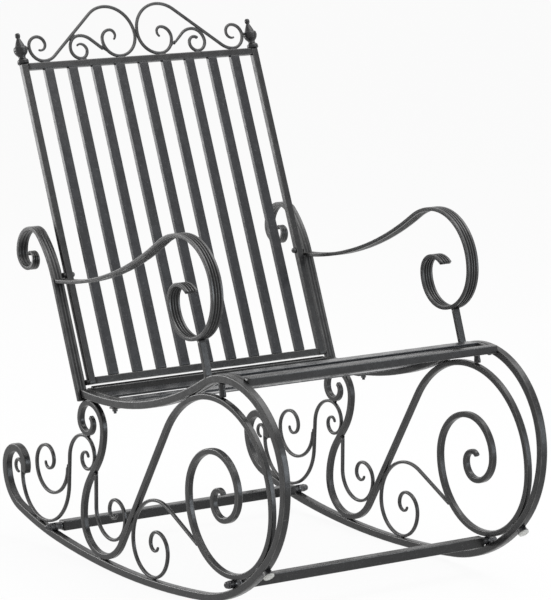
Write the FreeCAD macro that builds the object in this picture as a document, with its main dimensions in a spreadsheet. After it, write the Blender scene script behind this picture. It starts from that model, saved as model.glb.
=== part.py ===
import FreeCAD, Part
import math
import os

os.makedirs("parts", exist_ok=True)

# Driving dimensions of the rocking chair: millimetres and degrees, and plain ratios for shrink.
# "fore" runs to the front of the chair, "up" from the floor; bar sizes are depth in the plane of
# the bend and width across it; turns are degrees of bend along a bar.
SIZES = {
    "frame_spread": 570.0,
    "weld_gap": 0.2,
    # rocker bar: rear curl, rocker, front loop and seat rail bent from one length
    "main_depth": 15.0,
    "main_width": 15.0,
    "rocker_radius": 1880.0,
    "rocker_front_turn": 6.7,
    "rocker_rear_turn": 8.4,
    "toe_radius": 323.0,
    "toe_turn": 39.3,
    "front_radius": 200.0,
    "brow_radius": 174.0,
    "knee_radius": 152.0,
    "knee_turn": 28.6,
    "hollow_radius": 734.0,
    "rail_overhang": 56.8,
    "heel_radius": 820.0,
    "heel_turn": 10.1,
    "tail_radius": 78.5,
    "tail_curl_radius": 39.5,
    "tail_tip_radius": 31.0,
    "tail_tip_turn": 112.0,
    # leg scroll: top curl, neck, foot bow, diagonal, crown and front spiral
    "leg_depth": 11.0,
    "leg_width": 12.0,
    "leg_foot_run": 125.0,
    "leg_bow_radius": 76.0,
    "leg_heel_radius": 67.0,
    "leg_rise": 58.1,
    "leg_return_radius": 132.0,
    "leg_spiral_radius": 130.0,
    "leg_spiral_second": 86.0,
    "leg_spiral_third": 72.0,
    "leg_spiral_shrink": 0.66,
    "leg_spiral_last": 60.0,
    "leg_sway_radius": 123.0,
    "leg_sway_turn": 37.3,
    "leg_neck_radius": 112.0,
    "leg_curl_radius": 46.0,
    "leg_curl_shrink": 0.74,
    "leg_curl_last": 70.0,
    # thin scrolls that fill the side frames
    "scroll_depth": 6.0,
    "scroll_width": 7.0,
    "front_scroll_run": 48.7,
    "front_scroll_crest": 84.0,
    "front_scroll_aim": 0.3,
    "front_scroll_eye": 53.0,
    "front_scroll_shrink": 0.65,
    "hook_height": 61.0,
    "hook_bow": 53.3,
    "hook_eye": 46.8,
    "hook_shrink": 0.68,
    "rear_scroll_lean": 2.7,
    "rear_scroll_bow": 90.0,
    "rear_scroll_eye": 51.7,
    "rear_scroll_shrink": 0.71,
    "rear_scroll_ring": 12.5,
    "rear_scroll_neck": 8.0,
    "cradle_height": 110.5,
    "cradle_arm": 60.0,
    "cradle_eye": 52.5,
    "cradle_shrink": 0.7,
    # arm uprights, arms and arm posts
    "recline": 22.4,
    "upright_offset": 288.0,
    "upright_depth": 8.0,
    "upright_width": 22.0,
    "upright_rise": 230.0,
    "ear_sweep_radius": 210.0,
    "ear_sweep_turn": 26.2,
    "ear_brow_radius": 36.0,
    "ear_curl_radius": 47.6,
    "ear_curl_shrink": 0.64,
    "arm_height": 226.0,
    "arm_depth": 7.0,
    "arm_width": 25.0,
    "arm_slope": 3.9,
    "arm_rise_radius": 720.0,
    "arm_rise_turn": 30.0,
    "arm_brow_radius": 125.0,
    "arm_curl_front": 104.0,
    "arm_curl_under": 78.0,
    "arm_curl_back": 62.0,
    "arm_curl_eye": 31.0,
    "arm_tip_radius": 45.0,
    "arm_tip_turn": 40.0,
    "arm_post_depth": 8.0,
    "arm_post_width": 14.0,
    "arm_post_turn": 20.0,
    # back panel
    "post_offset": 265.0,
    "post_width": 14.0,
    "back_depth": 12.0,
    "back_set": 6.0,
    "back_rise": 35.0,
    "back_opening": 602.3,
    "back_rail_height": 13.0,
    "back_tube_wall": 1.5,
    "slat_width": 20.0,
    "slat_depth": 9.0,
    "slat_wall": 1.0,
    "crest_depth": 6.2,
    "crest_fall": 39.4,
    "crest_inner_radius": 43.0,
    "crest_eye_side": 33.0,
    "crest_eye_top": 20.3,
    "crest_eye_end": 10.6,
    "crest_eye_over": 60.0,
    "crest_dip_radius": 39.3,
    "crest_outer_radius": 27.7,
    "crest_outer_shrink": 0.75,
    "crest_outer_last": 35.0,
    "crest_end_room": 3.0,
    "crest_small_radius": 20.0,
    "crest_small_brow": 25.5,
    "crest_small_shrink": 0.8,
    "crest_small_last": 50.0,
    "crest_small_fall": 41.0,
    "crest_small_shoulder": 36.0,
    "finial_flange": 22.0,
    "finial_neck": 10.5,
    "finial_bulb": 27.0,
    "finial_knob": 9.5,
    "finial_height": 61.0,
    "finial_flange_height": 3.5,
    "finial_bulb_level": 25.5,
    "finial_cone": 7.0,
    "finial_cone_top": 5.0,
    # seat
    "front_rail_reach": 43.0,
    "front_rail_lift": 7.5,
    "front_rail_depth": 15.0,
    "seat_side_depth": 15.0,
    "seat_side_width": 8.0,
    "seat_side_gap": 1.5,
    "seat_side_reach": 7.7,
    "seat_slat_width": 32.0,
    "seat_slat_depth": 5.0,
    "rear_rail_depth": 14.0,
    "rear_rail_height": 16.0,
    "rear_rail_rise": 3.0,
    # stretchers and small fittings
    "stretcher_side": 19.0,
    "boss_outside": 15.0,
    "boss_bore": 8.4,
    "boss_length": 28.0,
    "rear_boss_run": 295.3,
    "stretcher_bolt": 8.0,
    "stretcher_bolt_head": 13.0,
    "stretcher_bolt_cap": 6.0,
    "stretcher_bolt_reach": 24.0,
    "stop_seat_diameter": 18.0,
    "stop_seat_height": 7.5,
    "stop_pad_diameter": 21.0,
    "stop_pad_thickness": 4.5,
    "stop_pad_turn": 38.1,
    "back_spacer_diameter": 11.0,
    "back_spacer_height": 200.0,
    "back_spacer_drop": 8.0,
    "back_spacer_set": 1.5,
    "back_bolt": 5.0,
    "back_bolt_head": 11.0,
    "back_bolt_cap": 6.0,
    "bolt_clearance": 0.3,
    "seat_lug_turn": 8.1,
    "seat_lug_length": 16.0,
    "seat_lug_thickness": 3.0,
    "seat_stud": 6.0,
    "seat_stud_length": 12.0,
    "seat_nut_width": 10.0,
    "seat_nut_height": 5.0,
    "loop_spacer_diameter": 12.0,
    "loop_spacer_turn": 8.8,
}

BACK_SLATS = 9
SEAT_SLATS = 8
HALF = math.degrees(math.pi)
QUARTER = HALF / 2
SAMPLE_STEP = 2.0
SHARES = 200
MARCH_STEP = 2.0
MARCH_LIMIT = 400
BISECTIONS = 24
NEST_ROUNDS = 8
SCROLL_QUARTERS = 5
SHORT_QUARTERS = 3
BULB_FACES = 4
KNOB_FACES = 3

doc = FreeCAD.newDocument("rocking_chair")
sheet = doc.addObject("Spreadsheet::Sheet", "sizes")
for row, (alias, number) in enumerate(SIZES.items(), 1):
    sheet.set("A%d" % row, alias)
    sheet.set("B%d" % row, str(number))
    sheet.setAlias("B%d" % row, alias)
doc.recompute()


def value(alias):
    """The number held by the sheet under an alias."""
    return float(sheet.get(alias))


gap = value("weld_gap")


# Planar bar paths: a path is a list of tangent segments in (fore, up), each a dictionary with its
# start, end and length, and for an arc also centre, radius, first angle and sweep (radians).

def polar(point, angle, distance):
    """The point at a distance from another along an angle in radians."""
    return (point[0] + distance * math.cos(angle), point[1] + distance * math.sin(angle))


def straight(start, angle, length):
    """A straight segment."""
    end = polar(start, angle, length)
    return {"start": start, "end": end, "length": length, "angle": angle, "sweep": 0.0}


def arc(start, angle, radius, sweep):
    """An arc that leaves its start along an angle; a positive sweep bends to the left."""
    side = math.copysign(math.pi / 2, sweep)
    centre = polar(start, angle + side, radius)
    first = angle - side
    end = polar(centre, first + sweep, radius)
    return {"start": start, "end": end, "length": radius * abs(sweep), "angle": angle,
            "sweep": sweep, "centre": centre, "radius": radius, "first": first}


def bend(start, heading, steps):
    """A path from a start and heading (degrees) through (length,) and (radius, turn) steps."""
    path = []
    angle = math.radians(heading)
    point = start
    for step in steps:
        if len(step) == 1:
            segment = straight(point, angle, step[0])
        else:
            segment = arc(point, angle, step[0], math.radians(step[1]))
        path.append(segment)
        point = segment["end"]
        angle += segment["sweep"]
    return path


def curl(radius, shrink, turns, side, last=QUARTER):
    """Steps of a scroll: quarter turns whose radius shrinks by a ratio; the last may be part."""
    steps = [(radius * shrink ** index, side * QUARTER) for index in range(turns)]
    steps[-1] = (steps[-1][0], side * last)
    return steps


def end_angle(segment):
    """The heading in radians at the end of a segment."""
    return segment["angle"] + segment["sweep"]


def reverse(path):
    """The same path run from its other end."""
    result = []
    for segment in reversed(path):
        turned = dict(segment)
        turned["start"], turned["end"] = segment["end"], segment["start"]
        turned["angle"] = end_angle(segment) + math.pi
        turned["sweep"] = -segment["sweep"]
        if segment["sweep"]:
            turned["first"] = segment["first"] + segment["sweep"]
        result.append(turned)
    return result


def moved(path, fore, up):
    """The path shifted by a distance fore and up."""
    result = []
    for segment in path:
        copy = dict(segment)
        for key in ("start", "end", "centre"):
            if key in segment:
                copy[key] = (segment[key][0] + fore, segment[key][1] + up)
        result.append(copy)
    return result


def at(segment, share):
    """The point and heading (radians) at a share of a segment's length."""
    if segment["sweep"]:
        turn = segment["sweep"] * share
        return polar(segment["centre"], segment["first"] + turn, segment["radius"]), segment["angle"] + turn
    return polar(segment["start"], segment["angle"], segment["length"] * share), segment["angle"]


def station(path, distance):
    """The point and heading (radians) at a distance along a path."""
    for segment in path:
        if distance <= segment["length"]:
            return at(segment, distance / segment["length"])
        distance -= segment["length"]
    return at(path[-1], 1.0)


def distance_to(point, path):
    """The distance from a point to the centre line of a path."""
    best = None
    for segment in path:
        if segment["sweep"]:
            across = (point[0] - segment["centre"][0], point[1] - segment["centre"][1])
            turn = math.atan2(across[1], across[0]) - segment["first"]
            if math.copysign(1.0, segment["sweep"]) * turn % (2 * math.pi) <= abs(segment["sweep"]):
                near = abs(math.hypot(across[0], across[1]) - segment["radius"])
            else:
                near = min(math.dist(point, segment["start"]), math.dist(point, segment["end"]))
        else:
            along = (point[0] - segment["start"][0]) * math.cos(segment["angle"])
            along += (point[1] - segment["start"][1]) * math.sin(segment["angle"])
            along = min(max(along, 0.0), segment["length"])
            near = math.dist(point, polar(segment["start"], segment["angle"], along))
        best = near if best is None else min(best, near)
    return best


def nearest(point, path):
    """The point and heading (radians) of a path's centre line nearest to a point."""
    found = [at(segment, index / SHARES) for segment in path for index in range(SHARES + 1)]
    return min(found, key=lambda spot: math.dist(spot[0], point))


def skin(path, depth):
    """Points along both faces of a bar."""
    points = []
    for segment in path:
        count = max(2, int(segment["length"] / SAMPLE_STEP))
        for index in range(count + 1):
            point, angle = at(segment, index / count)
            points.append(polar(point, angle + math.pi / 2, depth / 2))
            points.append(polar(point, angle - math.pi / 2, depth / 2))
    return points


def room(path, depth, other, other_depth):
    """The clear distance between two bars in the same plane."""
    return min(distance_to(point, other) for point in skin(path, depth)) - other_depth / 2


def seek(clear, first, step):
    """The value from which a step more would bring a clear distance under the weld gap."""
    low = first
    for _ in range(MARCH_LIMIT):
        if clear(low) >= gap:
            break
        low -= step
    for _ in range(MARCH_LIMIT):
        if clear(low + step) < gap:
            break
        low += step
    high = low + step
    for _ in range(BISECTIONS):
        middle = (low + high) / 2
        if clear(middle) < gap:
            high = middle
        else:
            low = middle
    return low


# Side frame paths, with the lowest point of the rocker above fore 0 and the floor at up 0

main_depth = value("main_depth")
leg_depth = value("leg_depth")
scroll_depth = value("scroll_depth")
low_point = (0.0, main_depth / 2)

front_turn = value("rocker_front_turn")
toe_turn = value("toe_turn")
knee_turn = value("knee_turn")
loop = bend(low_point, 0.0, [
    (value("rocker_radius"), front_turn),
    (value("toe_radius"), toe_turn),
    (value("front_radius"), QUARTER - front_turn - toe_turn),
    (value("brow_radius"), QUARTER),
    (value("knee_radius"), knee_turn),
])
ROCKER, TOE, FRONT, BROW, KNEE = loop

rear_turn = value("rocker_rear_turn")
heel_turn = value("heel_turn")
main_rear = bend(low_point, HALF, [
    (value("rocker_radius"), -rear_turn),
    (value("heel_radius"), -heel_turn),
    (value("tail_radius"), -(QUARTER - rear_turn - heel_turn)),
    (value("tail_curl_radius"), -QUARTER),
    (value("tail_tip_radius"), -value("tail_tip_turn")),
])
TAIL, TAIL_CURL, TAIL_TIP = main_rear[2:]

# The leg stands on the rocker behind its lowest point, and the seat rail ends behind the leg.
foot_point, foot_angle = station(main_rear, value("leg_foot_run"))
hollow_radius = value("hollow_radius")
hollow_low = KNEE["end"][0] - hollow_radius * math.sin(math.radians(knee_turn))


def hollow_turn(fore):
    """The turn (degrees) of the seat's hollow from the knee back to a place along fore."""
    return knee_turn + math.degrees(math.asin((hollow_low - fore) / hollow_radius))


rail_turn = hollow_turn(foot_point[0] - value("rail_overhang"))
main_front = loop + bend(KNEE["end"], HALF + knee_turn, [(hollow_radius, -rail_turn)])
HOLLOW = main_front[-1]
main_path = reverse(main_rear) + main_front
rail_end = HOLLOW["end"]
rail_heading = math.degrees(end_angle(HOLLOW))
seat_rail = [BROW, KNEE, HOLLOW]

# The whole chair is shifted so that its front and rear ends lie at equal distances from the origin.
front_reach = FRONT["end"][0] + main_depth / 2
rear_reach = TAIL["end"][0] - main_depth / 2
shift = (front_reach + rear_reach) / 2

# Leg scroll: its foot bow stands on the rocker, its crown and spiral meet the rocker bar from
# inside and its top curl meets the seat rail from below.
leg_foot = polar(foot_point, foot_angle - math.pi / 2, (main_depth + leg_depth) / 2 + gap)
foot_tilt = math.degrees(foot_angle) - HALF
leg_rise = value("leg_rise")
leg_return = value("leg_return_radius")


def leg_front(diagonal, crown_radius):
    """The leg scroll forward of its foot, for a length of diagonal and the radius of its crown."""
    shrink = value("leg_spiral_shrink")
    return bend(leg_foot, foot_tilt, [
        (value("leg_bow_radius"), leg_rise - foot_tilt),
        (diagonal,),
        (crown_radius, -leg_rise - QUARTER),
        (leg_return, -QUARTER),
        (value("leg_spiral_radius"), -QUARTER),
        (value("leg_spiral_second"), -QUARTER),
    ] + curl(value("leg_spiral_third"), shrink, SCROLL_QUARTERS, -1, value("leg_spiral_last")))


def leg_rear(neck):
    """The leg scroll behind its foot, for a straight length in the neck."""
    sway = value("leg_sway_turn")
    return bend(leg_foot, HALF + foot_tilt, [
        (value("leg_heel_radius"), -QUARTER - foot_tilt),
        (value("leg_sway_radius"), -sway),
        (neck,),
        (value("leg_neck_radius"), sway),
    ] + curl(value("leg_curl_radius"), value("leg_curl_shrink"), SCROLL_QUARTERS, 1, value("leg_curl_last")))


crown = slice(1, 3)
below_crown = slice(2, 4)
rocker_fore = main_front[:3]
diagonal = value("leg_bow_radius")
crown_radius = leg_return
for _ in range(NEST_ROUNDS):
    diagonal = seek(lambda run: room(leg_front(run, crown_radius)[crown], leg_depth, seat_rail, main_depth),
                    diagonal, MARCH_STEP)
    crown_radius = seek(lambda run: room(leg_front(diagonal, run)[below_crown], leg_depth,
                                         rocker_fore, main_depth), crown_radius, MARCH_STEP)
top_curl = slice(4, 6)
neck = seek(lambda run: room(leg_rear(run)[top_curl], leg_depth, [HOLLOW], main_depth), gap, MARCH_STEP)
leg_front_path = leg_front(diagonal, crown_radius)
leg_rear_path = leg_rear(neck)
leg_path = reverse(leg_rear_path) + leg_front_path
leg_sway = leg_rear_path[:4]
leg_curl = leg_rear_path[4:]
leg_diagonal = leg_front_path[:2]
leg_spiral = leg_front_path[3:6]

# Front scroll: stands on the rocker, its loop meets the diagonal and its tail meets the spiral.
stand_point, stand_angle = station(main_front, value("front_scroll_run"))
stand = polar(stand_point, stand_angle + math.pi / 2, (main_depth + scroll_depth) / 2 + gap)
stand_tilt = math.degrees(stand_angle)


def front_scroll_rear(bow, turn, tail):
    """The front scroll from its foot over the loop to its tail."""
    return bend(stand, HALF + stand_tilt, [
        (bow, -QUARTER - stand_tilt),
        (front_crest, -turn),
        (tail,),
    ])


front_crest = value("front_scroll_crest")
front_bow = seek(lambda run: room(front_scroll_rear(run, QUARTER, gap)[:2], scroll_depth,
                                  leg_diagonal, leg_depth), scroll_depth, MARCH_STEP)
crest_centre = front_scroll_rear(front_bow, QUARTER, gap)[1]["centre"]
aim = at(leg_front_path[4], value("front_scroll_aim"))[0]
aim_angle = math.atan2(aim[1] - crest_centre[1], aim[0] - crest_centre[0])
leave_angle = aim_angle + math.acos(front_crest / math.dist(aim, crest_centre))
front_over = HALF - math.degrees(leave_angle)
front_tail = seek(lambda run: room(front_scroll_rear(front_bow, front_over, run)[2:], scroll_depth,
                                   leg_spiral, leg_depth), gap, MARCH_STEP)
front_scroll_fore = bend(stand, stand_tilt,
                         curl(value("front_scroll_eye"), value("front_scroll_shrink"), SCROLL_QUARTERS, 1))
front_scroll_path = reverse(front_scroll_rear(front_bow, front_over, front_tail)) + front_scroll_fore

# Hook scroll: its eye meets the diagonal from behind and its tail rises to the neck of the leg.
hook_eye = bend((leg_foot[0], value("hook_height")), 0.0,
                curl(value("hook_eye"), value("hook_shrink"), SCROLL_QUARTERS, 1))
hook_slide = seek(lambda run: room(moved(hook_eye, run, 0.0)[:2], scroll_depth, leg_diagonal, leg_depth),
                  -leg_depth, MARCH_STEP)
hook_foot = (leg_foot[0] + hook_slide, value("hook_height"))


def hook_rear(tail):
    """The hook scroll from its foot up its tail."""
    return bend(hook_foot, HALF, [(value("hook_bow"), -QUARTER), (tail,)])


hook_tail = seek(lambda run: room(hook_rear(run)[1:], scroll_depth, leg_sway, leg_depth), gap, MARCH_STEP)
hook_path = reverse(hook_rear(hook_tail)) + moved(hook_eye, hook_slide, 0.0)

# Rear scroll: its upper eye nests between the top curl and the sway of the leg, its bow stands on
# the rocker and its lower end closes in a ring inside the tail of the rocker bar.
lean = value("rear_scroll_lean")
rear_shrink = value("rear_scroll_shrink")
eye_steps = curl(value("rear_scroll_eye") * rear_shrink, rear_shrink, SCROLL_QUARTERS, -1)


def rear_eye(top):
    """The upper eye of the rear scroll, forward of its top."""
    return bend(top, 0.0, eye_steps)


def rear_back(top, run, bow):
    """The rear scroll behind its top: shoulder, run down, bow and ring."""
    ring = value("rear_scroll_ring")
    return bend(top, HALF, [
        (value("rear_scroll_eye"), QUARTER - lean),
        (run,),
        (value("rear_scroll_bow"), lean - QUARTER),
        (bow, -QUARTER),
        (value("rear_scroll_neck"),),
    ] + [(ring, QUARTER)] * SHORT_QUARTERS)


def rear_whole_top(top):
    """The part of the rear scroll that nests against the leg."""
    return reverse(rear_back(top, gap, value("rear_scroll_bow"))[:1]) + rear_eye(top)[:2]


nest = (leg_sway[0]["end"][0], leg_sway[1]["end"][1])
for _ in range(NEST_ROUNDS):
    slide = seek(lambda run: room(rear_whole_top((nest[0] + run, nest[1])), scroll_depth,
                                  leg_sway, leg_depth), -leg_depth, MARCH_STEP)
    nest = (nest[0] + slide, nest[1])
    rise = seek(lambda run: room(rear_whole_top((nest[0], nest[1] + run)), scroll_depth,
                                 leg_curl, leg_depth), -leg_depth, MARCH_STEP)
    nest = (nest[0], nest[1] + rise)
rear_low_bow = value("rear_scroll_bow")
for _ in range(NEST_ROUNDS):
    ring_reach = rear_back(nest, gap, rear_low_bow)[3]["start"][0] - TAIL_TIP["centre"][0]
    ring_reach -= value("rear_scroll_ring") + scroll_depth / 2
    rear_run = seek(lambda run: room(rear_back(nest, run, rear_low_bow)[2:4], scroll_depth,
                                     main_rear[:3], main_depth), gap, MARCH_STEP)
    rear_low_bow = seek(lambda run: room(rear_back(nest, rear_run, run)[3:], scroll_depth,
                                         [TAIL_TIP], main_depth), ring_reach, -MARCH_STEP)
rear_back_path = rear_back(nest, rear_run, rear_low_bow)
rear_scroll_path = reverse(rear_back_path) + rear_eye(nest)

# Cradle scroll: its front arm lies against the run of the rear scroll and its eye stands behind.
cradle_foot = (TAIL["end"][0], value("cradle_height"))
cradle_fore = bend(cradle_foot, 0.0, [(value("cradle_arm"), QUARTER)])
cradle_rear = bend(cradle_foot, HALF, curl(value("cradle_eye"), value("cradle_shrink"), SCROLL_QUARTERS, -1))
cradle_slide = seek(lambda run: room(moved(cradle_fore, run, 0.0), scroll_depth,
                                     rear_back_path[:3], scroll_depth), 0.0, MARCH_STEP)
cradle_path = moved(reverse(cradle_rear) + cradle_fore, cradle_slide, 0.0)

# Arm upright: butts the slanted end of the seat rail, stands on the top curl of the leg and ends in an ear.
recline = value("recline")
lean_angle = math.radians(QUARTER + recline)
face_angle = math.radians(recline)
upright_depth = value("upright_depth")
rail_cut = recline + HALF - rail_heading
rail_corner = polar(rail_end, end_angle(HOLLOW) + math.pi / 2, main_depth / 2)
upright_base = polar(rail_corner, face_angle + math.pi, upright_depth / 2 + gap)


def foot_room(run):
    """The clear distance of the upright's foot, at a run below the seat rail, from the bars below it."""
    foot = [straight(upright_base, lean_angle + math.pi, run)]
    return min(room(foot, upright_depth, leg_curl, leg_depth),
               room(foot, upright_depth, rear_scroll_path, scroll_depth))


foot_drop = seek(foot_room, gap, MARCH_STEP)
upright_foot = polar(upright_base, lean_angle, -foot_drop)
sweep_turn = value("ear_sweep_turn")
upright_path = bend(upright_foot, QUARTER + recline, [
    (foot_drop + value("upright_rise"),),
    (value("ear_sweep_radius"), sweep_turn),
    (value("ear_brow_radius"), QUARTER - recline - sweep_turn),
] + curl(value("ear_curl_radius"), value("ear_curl_shrink"), SCROLL_QUARTERS, 1))

# Arm: butts the front face of the upright, swings up to its brow and ends in a wide scroll.
arm_depth = value("arm_depth")
slope = value("arm_slope")
arm_cut = recline - slope
arm_seat = polar(polar(upright_base, lean_angle, value("arm_height")), face_angle, upright_depth / 2 + gap)
arm_start = polar(arm_seat, math.radians(slope), arm_depth / 2 * math.tan(math.radians(arm_cut)))
rise_turn = value("arm_rise_turn")
arm_path = bend(arm_start, slope, [
    (value("arm_rise_radius"), rise_turn),
    (value("arm_brow_radius"), -slope - rise_turn),
    (value("arm_curl_front"), -QUARTER),
    (value("arm_curl_under"), -QUARTER),
    (value("arm_curl_back"), -QUARTER),
    (value("arm_curl_eye"), -QUARTER),
    (value("arm_tip_radius"), -value("arm_tip_turn")),
])

# Arm post: hangs square from the underside of the arm scroll down to the seat rail, its foot cut to the rail.
post_depth = value("arm_post_depth")
post_seat, post_along = at(arm_path[3], 1 - value("arm_post_turn") / QUARTER)
post_angle = post_along + math.pi / 2
post_top = polar(post_seat, post_angle, arm_depth / 2 + gap)
arm_post_height = seek(lambda run: room([straight(post_top, post_angle, run)], post_depth,
                                        seat_rail, main_depth), gap, MARCH_STEP)
arm_post_path = [straight(post_top, post_angle, arm_post_height)]
rail_fore = nearest(arm_post_path[0]["end"], seat_rail)[1] + math.pi
post_cut = math.degrees(math.remainder(post_angle + math.pi / 2 - rail_fore, 2 * math.pi))

# Back panel: its own frame has x across, y to the rear and up along the recline from the bottom rail's top.
opening = value("back_opening")
rail_height = value("back_rail_height")
back_origin = polar(polar(upright_base, lean_angle, value("back_rise")), face_angle, value("back_set"))
panel_top = opening + rail_height

# Crest scroll: one of a pair that meet on the middle line, stand on the top rail and reach the finials.
crest_depth = value("crest_depth")
crest_low = panel_top + gap + crest_depth / 2
crest_half = crest_depth / 2 + gap
crest_inner = value("crest_inner_radius")
crest_dip = value("crest_dip_radius")
crest_outer = value("crest_outer_radius")
crest_fall = value("crest_fall")
fall_sine = math.sin(math.radians(crest_fall))
fall_cosine = math.cos(math.radians(crest_fall))
crest_reach = value("post_offset") - value("finial_bulb") / 2 - value("crest_end_room") - crest_depth / 2
crest_drop = crest_inner - crest_dip * (1 - fall_cosine)
crest_spare = crest_reach - crest_half - crest_outer - crest_dip * fall_sine
crest_spare -= crest_drop * fall_cosine / fall_sine
crest_brow = crest_spare / (1 + fall_sine + fall_cosine ** 2 / fall_sine)
crest_slant = (crest_drop + crest_brow * fall_cosine) / fall_sine
crest_touch = (crest_half, crest_low + crest_inner)
crest_eye = bend(crest_touch, -QUARTER, [
    (crest_inner, QUARTER),
    (value("crest_eye_side"), QUARTER),
    (value("crest_eye_top"), QUARTER),
    (value("crest_eye_end"), QUARTER + value("crest_eye_over")),
])
crest_wing = bend(crest_touch, QUARTER, [
    (crest_brow, -QUARTER - crest_fall),
    (crest_slant,),
    (crest_dip, crest_fall),
] + curl(crest_outer, value("crest_outer_shrink"), SCROLL_QUARTERS, 1, value("crest_outer_last")))
crest_path = reverse(crest_eye) + crest_wing

# Small crest scroll: sits on the top rail under the slant of the crest scroll, its tail down to the rail.
small_radius = value("crest_small_radius")
small_shrink = value("crest_small_shrink")
small_foot = (crest_eye[0]["end"][0], crest_low)
small_rail = [straight((0.0, panel_top - crest_depth / 2), 0.0, value("post_offset"))]


def crest_small(slide, tail):
    """The small crest scroll from its foot over its brow to its tail."""
    return bend((small_foot[0] + slide, crest_low), 0.0, [
        (small_radius, QUARTER),
        (value("crest_small_brow"), QUARTER),
        (value("crest_small_shoulder"), value("crest_small_fall")),
        (tail,),
    ])


small_slide = seek(lambda run: room(crest_small(run, gap)[:2], crest_depth, crest_wing[:2], crest_depth),
                   small_radius, MARCH_STEP)
small_tail = seek(lambda run: room(crest_small(small_slide, run)[3:], crest_depth,
                                   crest_eye + small_rail, crest_depth), gap, MARCH_STEP)
small_eye = bend((small_foot[0] + small_slide, crest_low), HALF,
                 curl(small_radius * small_shrink, small_shrink, SHORT_QUARTERS, -1,
                      value("crest_small_last")))
small_path = reverse(small_eye) + crest_small(small_slide, small_tail)

# Seat: a front rail ahead of the peak, side bars along the seat rails, a rear rail and cross slats.
seat_depth = value("seat_side_depth")
peak = BROW["end"]
front_rail_reach = value("front_rail_reach")
brow_radius = value("brow_radius")
brow_height = BROW["centre"][1] + math.sqrt(brow_radius ** 2 - front_rail_reach ** 2)
front_rail_point = (peak[0] + front_rail_reach, brow_height + value("front_rail_lift"))
seat_turn = math.degrees(math.asin((front_rail_reach - value("front_rail_depth") / 2 - gap)
                                   / (brow_radius + seat_depth / 2)))
seat_start = polar(BROW["centre"], math.radians(QUARTER - seat_turn), brow_radius)
seat_path = bend(seat_start, HALF - seat_turn, [
    (brow_radius, seat_turn),
    (value("knee_radius"), knee_turn),
    (hollow_radius, -hollow_turn(rail_end[0] - value("seat_side_reach"))),
])
seat_length = sum(segment["length"] for segment in seat_path)

# Solids. Each bar is an outline sketch padded to both sides of its plane.

nodes = []


def offset(segment, distance):
    """A segment moved to its left by a distance."""
    if segment["sweep"]:
        radius = segment["radius"] - math.copysign(distance, distance * segment["sweep"])
        start = polar(segment["centre"], segment["first"], radius)
        return arc(start, segment["angle"], radius, segment["sweep"])
    return straight(polar(segment["start"], segment["angle"] + math.pi / 2, distance), segment["angle"],
                    segment["length"])


def between(start, end):
    """The straight segment from one point to another."""
    return straight(start, math.atan2(end[1] - start[1], end[0] - start[0]), math.dist(start, end))


def outline(path, near, far, start_cut=0.0, end_cut=0.0):
    """The closed outline of a bar from its right face to its left one; a cut (degrees) slants an end,
    and a positive cut leaves the left face the longer one."""
    left = [offset(segment, far) for segment in path]
    right = reverse([offset(segment, near) for segment in path])
    start_reach = (far - near) * math.tan(math.radians(abs(start_cut)))
    end_reach = (far - near) * math.tan(math.radians(abs(end_cut)))
    if start_cut > 0:
        left.insert(0, between(polar(left[0]["start"], left[0]["angle"], -start_reach), left[0]["start"]))
    if start_cut < 0:
        right.append(straight(right[-1]["end"], end_angle(right[-1]), start_reach))
    if end_cut > 0:
        left.append(straight(left[-1]["end"], end_angle(left[-1]), end_reach))
    if end_cut < 0:
        right.insert(0, between(polar(right[0]["start"], right[0]["angle"], -end_reach), right[0]["start"]))
    return (left + [between(left[-1]["end"], right[0]["start"])]
            + right + [between(right[-1]["end"], left[0]["start"])])


def curve(segment, flip):
    """The sketch curve of a segment; a flip of -1 turns the first axis round."""
    if not segment["sweep"]:
        ends = [FreeCAD.Vector(flip * point[0], point[1], 0) for point in (segment["start"], segment["end"])]
        return Part.LineSegment(*ends)
    low, high = sorted((segment["first"], segment["first"] + segment["sweep"]))
    if flip < 0:
        low, high = math.pi - high, math.pi - low
    centre = FreeCAD.Vector(flip * segment["centre"][0], segment["centre"][1], 0)
    return Part.ArcOfCircle(Part.Circle(centre, FreeCAD.Vector(0, 0, 1), segment["radius"]), low, high)


def sketch_on(body, name, role, curves):
    """A closed sketch on one of a body's own planes."""
    sketch = body.newObject("Sketcher::SketchObject", name)
    plane = [item for item in body.Origin.OriginFeatures if item.Role == role][0]
    sketch.AttachmentSupport = [(plane, "")]
    sketch.MapMode = "FlatFace"
    sketch.addGeometry(curves, False)
    return sketch


def bar(label, path, depth, width, place, role="YZ_Plane", flip=-1.0, cuts=(0.0, 0.0)):
    """A bar of constant section: its outline padded across."""
    body = doc.addObject("PartDesign::Body", label)
    body.Label = label
    edges = outline(path, -depth / 2, depth / 2, cuts[0], cuts[1])
    sketch = sketch_on(body, label + "_outline", role, [curve(edge, flip) for edge in edges])
    pad = body.newObject("PartDesign::Pad", label + "_pad")
    pad.Profile = sketch
    pad.SideType = "Symmetric"
    pad.setExpression("Length", "sizes." + width)
    body.Placement = place
    nodes.append(body)
    return body


def primitive(kind, name, place, **formulas):
    """A basic solid whose properties follow formulas of the sheet."""
    item = doc.addObject(kind, name)
    for key, formula in formulas.items():
        item.setExpression(key, formula)
    item.Placement = place
    return item


def joined(kind, name, **links):
    """A boolean or group of other objects."""
    item = doc.addObject(kind, name)
    for key, link in links.items():
        setattr(item, key, link)
    return item


def keep(item, label):
    """Name an object as a finished piece."""
    item.Label = label
    nodes.append(item)


def side_place(across):
    """The placement of a side frame bar."""
    return FreeCAD.Placement(FreeCAD.Vector(across, shift, 0), FreeCAD.Rotation())


def along(point, across, angle):
    """A placement at a point of the side view with its third axis along an angle (radians) there."""
    turn = QUARTER - math.degrees(angle)
    return FreeCAD.Placement(FreeCAD.Vector(across, shift - point[0], point[1]),
                             FreeCAD.Rotation(FreeCAD.Vector(1, 0, 0), turn))


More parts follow.
